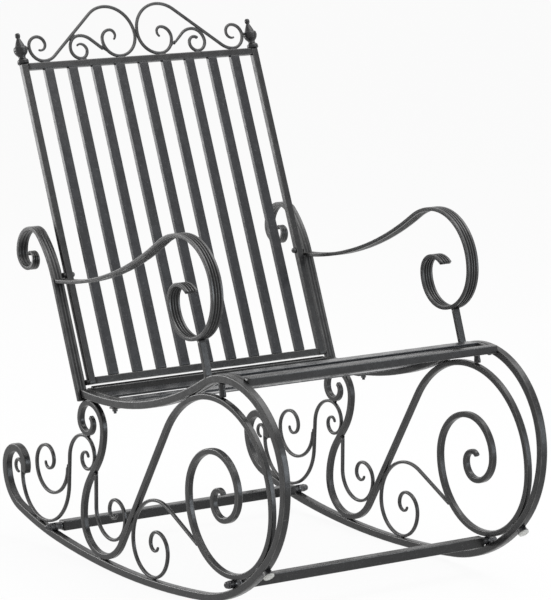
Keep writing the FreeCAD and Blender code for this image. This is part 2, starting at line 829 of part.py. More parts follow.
def crosswise(point, across, sign=1.0):
    """A placement at a point of the side view with its third axis across the chair."""
    return FreeCAD.Placement(FreeCAD.Vector(across, shift - point[0], point[1]),
                             FreeCAD.Rotation(FreeCAD.Vector(0, 1, 0), sign * QUARTER))


def inside(place, x, y, z):
    """A placement moved within its own axes."""
    return FreeCAD.Placement(place.multVec(FreeCAD.Vector(x, y, z)), place.Rotation)


SIDES = (("right", -1.0), ("left", 1.0))
frame_offset = value("frame_spread") / 2
for hand, sign in SIDES:
    place = side_place(sign * frame_offset)
    bar("rocker_bar_" + hand, main_path, main_depth, "main_width", place, cuts=(0.0, -rail_cut))
    bar("leg_scroll_" + hand, leg_path, leg_depth, "leg_width", place)
    bar("front_scroll_" + hand, front_scroll_path, scroll_depth, "scroll_width", place)
    bar("hook_scroll_" + hand, hook_path, scroll_depth, "scroll_width", place)
    bar("rear_scroll_" + hand, rear_scroll_path, scroll_depth, "scroll_width", place)
    bar("cradle_scroll_" + hand, cradle_path, scroll_depth, "scroll_width", place)
    bar("arm_upright_" + hand, upright_path, upright_depth, "upright_width",
        side_place(sign * value("upright_offset")))
    bar("arm_" + hand, arm_path, arm_depth, "arm_width", place, cuts=(arm_cut, 0.0))
    bar("arm_post_" + hand, arm_post_path, post_depth, "arm_post_width", place, cuts=(0.0, post_cut))

# Stop pads: a short seat with a flat disc on the outside of the toe of each rocker bar
pad_point, pad_angle = at(TOE, value("stop_pad_turn") / toe_turn)
pad_angle -= math.pi / 2
pad_foot = polar(pad_point, pad_angle, main_depth / 2 + gap)
pads = []
for hand, sign in SIDES:
    place = along(pad_foot, sign * frame_offset, pad_angle)
    seat = primitive("Part::Cylinder", "stop_seat_" + hand, place,
                     Radius="sizes.stop_seat_diameter / 2", Height="sizes.stop_seat_height")
    disc = primitive("Part::Cylinder", "stop_disc_" + hand,
                     inside(place, 0.0, 0.0, value("stop_seat_height")),
                     Radius="sizes.stop_pad_diameter / 2", Height="sizes.stop_pad_thickness")
    pads.append(joined("Part::Fuse", "stop_pad_" + hand, Base=seat, Tool=disc))
keep(joined("Part::Compound", "stop_pads", Links=pads), "stop_pads")

# Back panel
back_place = along(back_origin, 0.0, lean_angle)
post_offset = value("post_offset")
post_inner = post_offset - value("post_width") / 2
post_outer = post_offset + value("post_width") / 2
half_depth = value("back_depth") / 2
bolt_level = value("back_spacer_height")
bolt_set = value("back_spacer_set")
bolt_hole = "(sizes.back_bolt / 2) + sizes.bolt_clearance"
spacer_length = ("(sizes.upright_offset - sizes.upright_width / 2 - sizes.post_offset - sizes.post_width / 2"
                 " - 2 * sizes.weld_gap)")
# Finial profile: flange, neck, ball, cone and knob, all turned about the post's axis
bulb_half = value("finial_bulb") / 2
bulb_level = value("finial_bulb_level")
knob_half = value("finial_knob") / 2
knob_level = value("finial_height") - knob_half


def ball_rims(radius, level, low_half, high_half, faces):
    """The rims of a ball turned in conical faces, from a half width below its middle to one above."""
    first = -math.acos(low_half / radius)
    last = math.acos(high_half / radius)
    angles = [first + (last - first) * index / faces for index in range(faces + 1)]
    return [FreeCAD.Vector(radius * math.cos(angle), level + radius * math.sin(angle), 0) for angle in angles]


finial_rims = [FreeCAD.Vector(0, 0, 0), FreeCAD.Vector(value("finial_flange") / 2, 0, 0),
               FreeCAD.Vector(value("finial_flange") / 2, value("finial_flange_height"), 0)]
finial_rims += ball_rims(bulb_half, bulb_level, value("finial_neck") / 2, value("finial_cone") / 2,
                         BULB_FACES)
finial_rims += ball_rims(knob_half, knob_level, value("finial_cone_top") / 2, 0.0, KNOB_FACES)

back_spacers = []
back_bolts = []


def back_tube(name, run, wall, place, **formulas):
    """A tube of the back: a box with a core through it along its run."""
    thinner = {key: formula + ("" if key == run else " - 2 * sizes." + wall)
               for key, formula in formulas.items()}
    core = inside(place, *[0.0 if key == run else value(wall) for key in ("Length", "Width", "Height")])
    return joined("Part::Cut", name, Base=primitive("Part::Box", name + "_outside", place, **formulas),
                  Tool=primitive("Part::Box", name + "_core", core, **thinner))


def facing(sign, across, level):
    """A placement on the back's fixing line with its third axis away from the middle."""
    spot = inside(back_place, sign * across, bolt_set, level)
    outward = FreeCAD.Rotation(FreeCAD.Vector(0, 1, 0), sign * QUARTER)
    return FreeCAD.Placement(spot.Base, spot.Rotation.multiply(outward))


for hand, sign in SIDES:
    post_edge = sign * post_offset - value("post_width") / 2
    tube = back_tube("back_post_tube_" + hand, "Height", "back_tube_wall",
                     inside(back_place, post_edge, -half_depth, -rail_height),
                     Length="sizes.post_width", Width="sizes.back_depth",
                     Height="sizes.back_opening + 2 * sizes.back_rail_height")
    hole = primitive("Part::Cylinder", "back_post_hole_" + hand,
                     facing(sign, post_inner - half_depth, bolt_level),
                     Radius=bolt_hole, Height="sizes.post_width + sizes.back_depth")
    keep(joined("Part::Cut", "back_post_" + hand, Base=tube, Tool=hole), "back_post_" + hand)
    spacer = primitive("Part::Cylinder", "back_spacer_blank_" + hand,
                       facing(sign, post_outer + gap, bolt_level),
                       Radius="sizes.back_spacer_diameter / 2", Height=spacer_length)
    bore = primitive("Part::Cylinder", "back_spacer_bore_" + hand, facing(sign, post_outer, bolt_level),
                     Radius=bolt_hole, Height="2 * " + spacer_length)
    back_spacers.append(joined("Part::Cut", "back_spacer_upper_" + hand, Base=spacer, Tool=bore))
    back_spacers.append(primitive("Part::Cylinder", "back_spacer_lower_" + hand,
                                  facing(sign, post_outer + gap, -value("back_spacer_drop")),
                                  Radius="sizes.back_spacer_diameter / 2", Height=spacer_length))
    head = primitive("Part::Cylinder", "back_bolt_head_" + hand,
                     facing(sign, post_inner - gap - value("back_bolt_cap"), bolt_level),
                     Radius="sizes.back_bolt_head / 2", Height="sizes.back_bolt_cap")
    shank = primitive("Part::Cylinder", "back_bolt_shank_" + hand,
                      facing(sign, post_inner - 2 * gap, bolt_level),
                      Radius="sizes.back_bolt / 2", Height="sizes.post_width + " + spacer_length)
    back_bolts.append(joined("Part::Fuse", "back_bolt_" + hand, Base=head, Tool=shank))

    finial = doc.addObject("PartDesign::Body", "finial_" + hand)
    finial.Label = "finial_" + hand
    profile = [Part.LineSegment(*ends) for ends in zip(finial_rims, finial_rims[1:] + finial_rims[:1])]
    turning = sketch_on(finial, "finial_profile_" + hand, "XZ_Plane", profile)
    turned = finial.newObject("PartDesign::Revolution", "finial_turned_" + hand)
    turned.Profile = turning
    turned.ReferenceAxis = (turning, ["V_Axis"])
    turned.Angle = 2 * HALF
    finial.Placement = inside(back_place, sign * post_offset, 0.0, panel_top + gap)
    nodes.append(finial)

    bar("crest_scroll_" + hand, crest_path, crest_depth, "crest_depth", back_place, "XZ_Plane", sign)
    bar("small_crest_scroll_" + hand, small_path, crest_depth, "crest_depth", back_place, "XZ_Plane", sign)
keep(joined("Part::Compound", "back_spacers", Links=back_spacers), "back_spacers")
keep(joined("Part::Compound", "back_bolts", Links=back_bolts), "back_bolts")

rail_span = "(2 * sizes.post_offset - sizes.post_width - 2 * sizes.weld_gap)"
for name, level in (("back_bottom_rail", -rail_height), ("back_top_rail", opening)):
    rail = back_tube(name, "Length", "back_tube_wall",
                     inside(back_place, -post_inner + gap, -half_depth, level),
                     Length=rail_span, Width="sizes.back_depth", Height="sizes.back_rail_height")
    keep(rail, name)
slat_room = (2 * post_inner - BACK_SLATS * value("slat_width")) / (BACK_SLATS + 1)
for index in range(BACK_SLATS):
    left_edge = -post_inner + slat_room + index * (slat_room + value("slat_width"))
    slat = back_tube("back_slat_%d" % (index + 1), "Height", "slat_wall",
                     inside(back_place, left_edge, -half_depth, gap),
                     Length="sizes.slat_width", Width="sizes.slat_depth",
                     Height="sizes.back_opening - 2 * sizes.weld_gap")
    keep(slat, "back_slat_%d" % (index + 1))

# Seat
side_offset = frame_offset - value("main_width") / 2 - value("seat_side_gap") - value("seat_side_width") / 2
side_inner = side_offset - value("seat_side_width") / 2
seat_span = ("sizes.frame_spread - sizes.main_width - 2 * sizes.seat_side_gap - 2 * sizes.seat_side_width"
             " - 2 * sizes.weld_gap")
front_rail_half = value("front_rail_depth") / 2
keep(primitive("Part::Box", "seat_front_rail",
               inside(along(front_rail_point, 0.0, math.pi / 2),
                      -frame_offset + value("main_width") / 2 + gap, -front_rail_half, -front_rail_half),
               Length="sizes.frame_spread - sizes.main_width - 2 * sizes.weld_gap",
               Width="sizes.front_rail_depth", Height="sizes.front_rail_depth"), "seat_front_rail")
for hand, sign in SIDES:
    bar("seat_side_" + hand, seat_path, seat_depth, "seat_side_width", side_place(sign * side_offset),
        cuts=(seat_turn, 0.0))


def crossing(name, distance, width, depth, rise=0.0):
    """A cross piece of the seat at a distance along its side bars, with a rise over their top face."""
    point, angle = station(seat_path, distance)
    place = along(point, 0.0, angle - math.pi / 2)
    corner = inside(place, -side_inner + gap, -value(width) / 2, seat_depth / 2 + rise - value(depth))
    keep(primitive("Part::Box", name, corner,
                   Length=seat_span, Width="sizes." + width, Height="sizes." + depth), name)


rear_rail_depth = value("rear_rail_depth")
crossing("seat_rear_rail", seat_length - rear_rail_depth / 2, "rear_rail_depth", "rear_rail_height",
         value("rear_rail_rise"))
seat_slat_width = value("seat_slat_width")
seat_room = (seat_length - rear_rail_depth - SEAT_SLATS * seat_slat_width) / (SEAT_SLATS + 1)
for index in range(SEAT_SLATS):
    slat_middle = seat_room + seat_slat_width / 2 + index * (seat_room + seat_slat_width)
    crossing("seat_slat_%d" % (index + 1), slat_middle, "seat_slat_width", "seat_slat_depth")

# Stretchers between the rockers, with bored bosses across the rockers and bolts from outside
boss_outside = value("boss_outside")
boss_length = value("boss_length")
bolt_cap = value("stretcher_bolt_cap")
bosses = []
stretcher_bolts = []


def boss_on(path, run, side):
    """The middle of a boss that stands on the rocker at a run along it."""
    point, angle = station(path, run)
    return polar(point, angle + side * math.pi / 2, (main_depth + boss_outside) / 2 + gap)


boss_reach = (boss_outside + leg_depth) / 2
front_run = seek(lambda run: distance_to(boss_on(main_front, run, 1), leg_spiral) - boss_reach,
                 boss_length, MARCH_STEP)
for name, centre in (("front", boss_on(main_front, front_run, 1)),
                     ("rear", boss_on(main_rear, value("rear_boss_run"), -1))):
    beam_place = along(centre, 0.0, math.pi / 2)
    half_side = value("stretcher_side") / 2
    beam_half = frame_offset - boss_length / 2 - gap
    piece = primitive("Part::Box", "stretcher_blank_" + name,
                      inside(beam_place, -beam_half, -half_side, -half_side),
                      Length="sizes.frame_spread - sizes.boss_length - 2 * sizes.weld_gap",
                      Width="sizes.stretcher_side", Height="sizes.stretcher_side")
    for hand, sign in SIDES:
        key = name + "_" + hand
        bore = primitive("Part::Cylinder", "stretcher_bore_" + key,
                         crosswise(centre, sign * (beam_half + gap), -sign),
                         Radius="sizes.boss_bore / 2",
                         Height="sizes.stretcher_bolt_reach + 4 * sizes.weld_gap")
        piece = joined("Part::Cut", "stretcher_cut_" + key, Base=piece, Tool=bore)
        blank = primitive("Part::Cylinder", "boss_blank_" + key,
                          crosswise(centre, sign * (frame_offset + boss_length / 2), -sign),
                          Radius="sizes.boss_outside / 2", Height="sizes.boss_length")
        through = primitive("Part::Cylinder", "boss_bore_" + key,
                            crosswise(centre, sign * (frame_offset + boss_length), -sign),
                            Radius="sizes.boss_bore / 2", Height="2 * sizes.boss_length")
        bosses.append(joined("Part::Cut", "boss_" + key, Base=blank, Tool=through))
        cap_face = frame_offset + boss_length / 2 + gap
        head = primitive("Part::Cylinder", "stretcher_bolt_head_" + key,
                         crosswise(centre, sign * (cap_face + bolt_cap), -sign),
                         Radius="sizes.stretcher_bolt_head / 2", Height="sizes.stretcher_bolt_cap")
        shank_length = "sizes.stretcher_bolt_cap / 2 + sizes.boss_length + sizes.stretcher_bolt_reach"
        shank = primitive("Part::Cylinder", "stretcher_bolt_shank_" + key,
                          crosswise(centre, sign * (cap_face + bolt_cap / 2), -sign),
                          Radius="sizes.stretcher_bolt / 2", Height=shank_length)
        stretcher_bolts.append(joined("Part::Fuse", "stretcher_bolt_" + key, Base=head, Tool=shank))
    keep(piece, name + "_stretcher")
keep(joined("Part::Compound", "stretcher_bosses", Links=bosses), "stretcher_bosses")
keep(joined("Part::Compound", "stretcher_bolts", Links=stretcher_bolts), "stretcher_bolts")

# Seat fixing: a lug under each side bar, a stud under the seat rail and a nut below the lug
lug_point, lug_angle = at(HOLLOW, 1 - value("seat_lug_turn") / rail_turn)
lug_down = lug_angle + math.pi / 2
lug_place = along(polar(lug_point, lug_down, main_depth / 2 + gap), 0.0, lug_down)
lug_width = frame_offset + value("main_width") / 2 - side_inner
stud_hole = "(sizes.seat_stud / 2) + sizes.bolt_clearance"
lugs = []
studs = []
nuts = []
for hand, sign in SIDES:
    left_edge = sign * (side_inner + lug_width / 2) - lug_width / 2
    blank = primitive("Part::Box", "seat_lug_blank_" + hand,
                      inside(lug_place, left_edge, -value("seat_lug_length") / 2, 0.0),
                      Length="sizes.main_width + sizes.seat_side_gap + sizes.seat_side_width",
                      Width="sizes.seat_lug_length", Height="sizes.seat_lug_thickness")
    axis = inside(lug_place, sign * frame_offset, 0.0, 0.0)
    hole = primitive("Part::Cylinder", "seat_lug_hole_" + hand, axis, Radius=stud_hole,
                     Height="2 * sizes.seat_lug_thickness")
    lugs.append(joined("Part::Cut", "seat_lug_" + hand, Base=blank, Tool=hole))
    studs.append(primitive("Part::Cylinder", "seat_stud_" + hand, axis, Radius="sizes.seat_stud / 2",
                           Height="sizes.seat_stud_length"))
    nut_place = inside(axis, 0.0, 0.0, value("seat_lug_thickness") + gap)
    prism = primitive("Part::Prism", "seat_nut_blank_" + hand, nut_place,
                      Circumradius="sizes.seat_nut_width / 2 / cos(30 deg)", Height="sizes.seat_nut_height")
    thread = primitive("Part::Cylinder", "seat_nut_bore_" + hand, axis, Radius=stud_hole,
                       Height="2 * sizes.seat_stud_length")
    nuts.append(joined("Part::Cut", "seat_nut_" + hand, Base=prism, Tool=thread))
for label, pieces in (("seat_lugs", lugs), ("seat_studs", studs), ("seat_nuts", nuts)):
    keep(joined("Part::Compound", label, Links=pieces), label)

# Loop spacers between the brow of each rocker bar and the crown of its leg scroll
spacer_point, spacer_angle = at(KNEE, value("loop_spacer_turn") / knee_turn)
spacer_down = spacer_angle + math.pi / 2
spacer_start = polar(spacer_point, spacer_down, main_depth / 2 + 2 * gap)
spacer_run = seek(lambda run: room([straight(spacer_start, spacer_down, run)], value("loop_spacer_diameter"),
                                   leg_front_path[2:3], leg_depth), gap, MARCH_STEP)
spacers = []
for hand, sign in SIDES:
    spacer = primitive("Part::Cylinder", "loop_spacer_" + hand,
                       along(spacer_start, sign * frame_offset, spacer_down),
                       Radius="sizes.loop_spacer_diameter / 2")
    spacer.Height = spacer_run
    spacers.append(spacer)
keep(joined("Part::Compound", "loop_spacers", Links=spacers), "loop_spacers")

doc.recompute()
for item in doc.Objects:
    if "Invalid" in item.State or "Error" in item.State:
        raise ValueError("not built: " + item.Label)
for item in nodes:
    if item.Shape.isNull() or not item.Shape.isValid() or not item.Shape.Solids:
        raise ValueError("no valid solid: " + item.Label)
    item.Shape.exportStep("parts/%s.step" % item.Label)
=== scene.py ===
import math

import bpy
import numpy as np
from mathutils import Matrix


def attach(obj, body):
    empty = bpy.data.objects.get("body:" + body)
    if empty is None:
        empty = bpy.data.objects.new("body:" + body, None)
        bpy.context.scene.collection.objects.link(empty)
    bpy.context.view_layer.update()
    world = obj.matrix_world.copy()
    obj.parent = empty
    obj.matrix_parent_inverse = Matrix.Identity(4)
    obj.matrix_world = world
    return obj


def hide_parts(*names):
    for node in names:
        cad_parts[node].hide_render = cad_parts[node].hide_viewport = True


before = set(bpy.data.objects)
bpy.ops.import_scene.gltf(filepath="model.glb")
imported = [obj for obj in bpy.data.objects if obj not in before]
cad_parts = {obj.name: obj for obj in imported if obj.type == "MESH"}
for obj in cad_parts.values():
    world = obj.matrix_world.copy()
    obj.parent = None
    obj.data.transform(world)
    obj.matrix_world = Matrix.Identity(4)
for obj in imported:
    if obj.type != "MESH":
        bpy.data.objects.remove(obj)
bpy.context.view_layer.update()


# Rocker bars: one square steel bar on each side, bent cold into rear curl, rocker, front loop and
# seat rail. It keeps the soft corners of rolled bar under a coat of near-black powder paint.
ROCKER_CORNER = 0.0024
ROCKER_STEP = 0.006
END_LIP = 0.0012
FACE_SLACK = 2e-5
SHARP_COSINE = 0.75
FLAT_SHARE = 0.4
MERGE_DIGITS = 6
ACROSS = np.array([1.0, 0.0, 0.0])
HANDS = ("right", "left")
lines = {}


def node_points(node):
    """The points of a node's mesh."""
    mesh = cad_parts[node].data
    points = np.empty(len(mesh.vertices) * 3, np.float32)
    mesh.vertices.foreach_get("co", points)
    return points.reshape(-1, 3).astype(float)


def distances(line):
    """How far along a line each of its points lies."""
    return np.append(0.0, np.cumsum(np.linalg.norm(np.diff(line, axis=0), axis=1)))


def bar_line(node, toward, step):
    """The middle line of a bar: the ordered outline of its flat face that looks most toward a
    direction is parted at its four corners, and one long run is moved in by half the bar's depth.
    Gives the line, the half depths square to it, and the half width square to the face."""
    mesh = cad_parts[node].data
    mesh.calc_loop_triangles()
    points = node_points(node)
    corners = np.empty(len(mesh.loop_triangles) * 3, np.int32)
    mesh.loop_triangles.foreach_get("vertices", corners)
    corners = corners.reshape(-1, 3)
    first, second, third = (points[corners[:, index]] for index in range(3))
    normals = np.cross(second - first, third - first)
    face = normals[np.argmax(normals @ toward)]
    face = face / np.linalg.norm(face)
    reach = points @ face
    far = reach > reach.max() - FACE_SLACK
    walls = corners[far[corners].sum(axis=1) == 2]
    rows = np.arange(len(walls))
    lone = np.argmin(far[walls], axis=1)
    spots, ids = np.unique(np.round(points, MERGE_DIGITS), axis=0, return_inverse=True)
    ids = ids.ravel()
    starts = ids[walls[rows, (lone + 1) % 3]]
    following = np.zeros(len(spots), int)
    following[starts] = ids[walls[rows, (lone + 2) % 3]]
    ring = starts[:1]
    leap = following
    while len(ring) < len(walls):
        ring = np.concatenate([ring, leap[ring]])
        leap = leap[leap]
    ring = spots[ring[:len(walls)]]
    edges = np.roll(ring, -1, axis=0) - ring
    edges /= np.linalg.norm(edges, axis=1, keepdims=True)
    sharp = np.flatnonzero((np.roll(edges, 1, axis=0) * edges).sum(axis=1) < SHARP_COSINE)
    ring = np.roll(ring, -sharp[0], axis=0)
    ring = np.vstack([ring, ring[:1]])
    sharp = np.append(sharp - sharp[0], len(ring) - 1)
    runs = [ring[start:end + 1] for start, end in zip(sharp[:-1], sharp[1:])]
    spans = [distances(run)[-1] for run in runs]
    turn = 0 if spans[0] + spans[2] > spans[1] + spans[3] else 1
    near = runs[turn]
    other = runs[turn + 2][::-1]
    caps = near[[0, -1]] - other[[0, -1]]
    depth = np.linalg.norm(caps, axis=1).min()
    steps = np.diff(near, axis=0)
    steps /= np.linalg.norm(steps, axis=1, keepdims=True)
    heading = np.vstack([steps[:1], steps[:-1] + steps[1:], steps[-1:]])
    outward = np.cross(face, heading)
    outward *= np.sign(caps[0] @ outward[0]) / np.linalg.norm(outward, axis=1, keepdims=True)
    half = outward * depth / 2
    half[[0, -1]] = caps / 2
    half_width = (reach.max() - reach.min()) / 2
    line = near - half - face * half_width
    along = distances(line)
    fine = np.union1d(along, np.arange(0.0, along[-1], step))
    fine = np.union1d(fine[(fine > 2 * END_LIP) & (fine < along[-1] - 2 * END_LIP)],
                      [0.0, END_LIP, along[-1] - END_LIP, along[-1]])
    fine = fine[np.append(True, np.diff(fine) > END_LIP / 4)]
    line, half = (np.stack([np.interp(fine, along, column) for column in coarse.T], axis=1)
                  for coarse in (line, half))
    lines[node] = (line, half, face * half_width)
    return lines[node]


def rounded(half_width, half_depth, radius, steps=4):
    """A section with rounded corners, anticlockwise, as shares of its half width and half depth: four
    quarter arcs with a point on the flat beside each end, and a weight that peaks on each corner."""
    quarter = np.arange(4)[:, None] * math.pi / 2
    turn = np.linspace(0.0, math.pi / 2, steps + 1)[None, :]
    angle = quarter + turn
    across = np.sign(np.cos(quarter + math.pi / 4)) * (half_width - radius)
    deep = np.sign(np.sin(quarter + math.pi / 4)) * (half_depth - radius)
    wide = across + radius * np.cos(angle)
    tall = deep + radius * np.sin(angle)
    spare = FLAT_SHARE * min(half_width - radius, half_depth - radius, radius)
    before = angle[:, :1]
    after = angle[:, -1:]
    wide = np.hstack([wide[:, :1] + spare * np.sin(before), wide,
                      wide[:, -1:] - spare * np.sin(after)])
    tall = np.hstack([tall[:, :1] - spare * np.cos(before), tall,
                      tall[:, -1:] + spare * np.cos(after)])
    weight = np.pad(np.sin(2 * turn), ((0, 0), (1, 1))).repeat(4, axis=0)
    return wide.ravel() / half_width, tall.ravel() / half_depth, weight.ravel()


def closed_skin(name, grids, smooth=True):
    """One mesh of closed skins: each grid is rings of points, a point that closes the first ring, one
    that closes the last, and a weight along a ring; quads join ring to ring and fans close the ends,
    turned about where the enclosed volume comes out negative."""
    points = []
    weights = []
    quads = []
    fans = []
    base = 0
    for rings, first, last, weight in grids:
        ring_count, size = rings.shape[:2]
        index = np.arange(ring_count * size).reshape(ring_count, size)
        nexts = np.roll(index, -1, axis=1)
        sides = np.stack([index[:-1], nexts[:-1], nexts[1:], index[1:]], axis=-1).reshape(-1, 4)
        poles = ring_count * size
        start = np.stack([nexts[0], index[0], np.full(size, poles)], axis=-1)
        end = np.stack([index[-1], nexts[-1], np.full(size, poles + 1)], axis=-1)
        ends = np.vstack([start, end])
        cloud = np.vstack([rings.reshape(-1, 3), first[None, :], last[None, :]])
        corners = np.vstack([sides[:, :3], sides[:, [0, 2, 3]], ends])
        one, two, three = (cloud[corners[:, place]] - cloud[0] for place in range(3))
        if (np.cross(one, two) * three).sum() < 0.0:
            sides = sides[:, ::-1]
            ends = ends[:, ::-1]
        points.append(cloud)
        weights.append(np.append(np.tile(weight, ring_count), [0.0, 0.0]))
        quads.append(sides + base)
        fans.append(ends + base)
        base += len(cloud)
    cloud = np.vstack(points)
    quads = np.vstack(quads)
    fans = np.vstack(fans)
    mesh = bpy.data.meshes.new(name)
    mesh.vertices.add(len(cloud))
    mesh.vertices.foreach_set("co", cloud.astype(np.float32).ravel())
    mesh.loops.add(quads.size + fans.size)
    order = np.concatenate([quads.ravel(), fans.ravel()])
    mesh.loops.foreach_set("vertex_index", order.astype(np.int32))
    mesh.polygons.add(len(quads) + len(fans))
    starts = np.concatenate([np.arange(len(quads)) * 4, quads.size + np.arange(len(fans)) * 3])
    mesh.polygons.foreach_set("loop_start", starts.astype(np.int32))
    mesh.polygons.foreach_set("use_smooth", np.full(len(quads) + len(fans), smooth))
    corner = mesh.attributes.new("corner", "FLOAT", "POINT")
    corner.data.foreach_set("value", np.concatenate(weights).astype(np.float32))
    mesh.update(calc_edges=True)
    mesh.validate()
    piece = bpy.data.objects.new(name, mesh)
    bpy.context.scene.collection.objects.link(piece)
    return piece


def carried(line, half, side, section, lip=END_LIP, thin_ends=(), thin_run=1.0, thin_share=1.0):
    """The rings of a section carried along a bar's line: line point + share across times the half
    width + share deep times the half depth, drawn in by a lip at both ends and closed on the line. A
    thin end is drawn out: the section falls to a share of itself as a parabola over the last run."""
    wide, tall, weight = section
    along = distances(line)
    drawn = np.ones(len(line))
    for end in thin_ends:
        away = np.clip(np.abs(along - along[end]) / thin_run, 0.0, 1.0)
        drawn *= thin_share + (1.0 - thin_share) * away * (2.0 - away)
    drawn[[0, -1]] -= lip / np.linalg.norm(half[0])
    offsets = half[:, None, :] * tall[None, :, None] + side[None, None, :] * wide[None, :, None]
    return line[:, None, :] + drawn[:, None, None] * offsets, line[0], line[-1], weight


def put(piece, material, slot, *nodes):
    """Gives a piece its finish, sets it on the chair and lets it stand for its nodes."""
    piece.data.materials.append(material)
    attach(piece, "root")
    if nodes:
        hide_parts(*nodes)


def plain_bar(node, name, toward, corner, material, step=ROCKER_STEP, **ends):
    """A bar in place of its node: a section with rounded corners carried along the node's middle line,
    with the lip and the drawn-out ends of the bar."""
    line, half, side = bar_line(node, toward, step)
    section = rounded(np.linalg.norm(side), np.linalg.norm(half[0]), corner)
    put(closed_skin(name, [carried(line, half, side, section, **ends)]), material, "frame", node)


PAINT_SHEEN = 0.37
DRIFT_WAVES = 9.0
DRIFT_SHADE = 0.72
# Waves to the metre of the noise that breaks up the paler edges: partly wear, partly a painted
# highlight.
WEAR_AND_HIGHLIGHT_WAVES = 38.0
SPECK_WAVES = 240.0
GLOSS_WAVES = 70.0
# Painted shade in reed grooves: the share of the colour and of the sheen that is left there.
GROOVE_SHADE_COLOUR_SHARE = 0.3
GROOVE_SHADE_SHEEN_SHARE = 0.1
BUMPS = ((45.0, 1.0, 0.25, 0.0012), (900.0, 2.0, 0.2, 0.00018))


def coated_iron(name, colour, wear_and_highlight_colour, rough, sheen=PAINT_SHEEN):
    """Powder paint on iron: the colour drifts with a slow noise, and corners and reed ridges turn paler
    where a noise lets them, partly wear and partly a painted highlight. Reed grooves are painted darker
    and less glossy, a painted shade, and powder dimples lie over the slow waves of bent bar. A bump is
    waves to the metre, detail, strength and depth."""
    material = bpy.data.materials.new(name)
    material.use_nodes = True
    tree = material.node_tree
    shader = tree.nodes["Principled BSDF"]
    where = tree.nodes.new("ShaderNodeTexCoord").outputs["Object"]

    def noise(scale, detail=2.0):
        """A noise over the piece's own space, at a number of waves to the metre."""
        node = tree.nodes.new("ShaderNodeTexNoise")
        node.inputs["Scale"].default_value = scale
        node.inputs["Detail"].default_value = detail
        tree.links.new(where, node.inputs["Vector"])
        return node.outputs["Fac"]

    def spread(source, low, high, to_low, to_high):
        """A number carried from one span to another."""
        node = tree.nodes.new("ShaderNodeMapRange")
        spans = {"From Min": low, "From Max": high, "To Min": to_low, "To Max": to_high}
        for place, number in spans.items():
            node.inputs[place].default_value = number
        tree.links.new(source, node.inputs["Value"])
        return node.outputs["Result"]

    def times(first, second):
        """The product of two numbers."""
        node = tree.nodes.new("ShaderNodeMath")
        node.operation = "MULTIPLY"
        tree.links.new(first, node.inputs[0])
        tree.links.new(second, node.inputs[1])
        return node.outputs["Value"]

    def blend(share, first, second):
        """Two colours mixed by a share; either may be a plain colour or another mix."""
        node = tree.nodes.new("ShaderNodeMix")
        node.data_type = "RGBA"
        tree.links.new(share, node.inputs["Factor"])
        for socket, tint in ((node.inputs["A"], first), (node.inputs["B"], second)):
            if isinstance(tint, tuple):
                socket.default_value = (*tint, 1.0)
            else:
                tree.links.new(tint, socket)
        return node.outputs["Result"]

    corner = tree.nodes.new("ShaderNodeAttribute")
    corner.attribute_name = "corner"
    # Corners and reed ridges turn paler where a noise lets them: partly wear, partly a painted
    # highlight.
    wear_and_highlight_share = times(spread(corner.outputs["Fac"], 0.3, 1.0, 0.0, 1.0),
                   spread(noise(WEAR_AND_HIGHLIGHT_WAVES, 4.0), 0.35, 0.7, 0.3, 1.0))
    drift = blend(spread(noise(DRIFT_WAVES, 3.0), 0.3, 0.7, 0.0, 1.0), colour,
                  tuple(DRIFT_SHADE * part for part in colour))
    specks = blend(spread(noise(SPECK_WAVES, 3.0), 0.62, 0.8, 0.0, 0.5), drift, wear_and_highlight_colour)
    # Reed grooves are painted darker and their sheen is lowered: painted shade.
    groove_shade_share = spread(corner.outputs["Fac"], -0.6, 0.0, 1.0, 0.0)
    skin = blend(groove_shade_share, blend(wear_and_highlight_share, specks, wear_and_highlight_colour), tuple(GROOVE_SHADE_COLOUR_SHARE * part for part in colour))
    gloss = spread(groove_shade_share, 0.0, 1.0, sheen, GROOVE_SHADE_SHEEN_SHARE * sheen)
    grain = spread(noise(GLOSS_WAVES, 3.0), 0.3, 0.7, rough - 0.05, rough + 0.09)
    tree.links.new(skin, shader.inputs["Base Color"])
    tree.links.new(gloss, shader.inputs["Specular IOR Level"])
    tree.links.new(grain, shader.inputs["Roughness"])
    below = None
    for waves, detail, strength, depth in BUMPS:
        bump = tree.nodes.new("ShaderNodeBump")
        bump.inputs["Strength"].default_value = strength
        bump.inputs["Distance"].default_value = depth
        tree.links.new(noise(waves, detail), bump.inputs["Height"])
        if below:
            tree.links.new(below, bump.inputs["Normal"])
        below = bump.outputs["Normal"]
    tree.links.new(below, shader.inputs["Normal"])
    return material


# The second colour is the paler edge colour: partly wear, partly a painted highlight.
iron = coated_iron("anthracite_powder_coat", (0.019, 0.019, 0.0195), (0.15, 0.148, 0.144), 0.25)
for hand in HANDS:
    plain_bar("rocker_bar_" + hand, "rocker_" + hand, ACROSS, ROCKER_CORNER, iron)


# Leg scrolls: lighter square bar bent into top curl, neck, foot bow, diagonal and front spiral, drawn
# out thinner at both ends. Each is set inside its rocker bar and welded where the two touch.
LEG_CORNER = 0.0022
LEG_THIN_RUN = 0.09
LEG_THIN_SHARE = 0.72
for hand in HANDS:
    plain_bar("leg_scroll_" + hand, "leg_" + hand, ACROSS, LEG_CORNER, iron, thin_ends=(0, -1),
              thin_run=LEG_THIN_RUN, thin_share=LEG_THIN_SHARE)


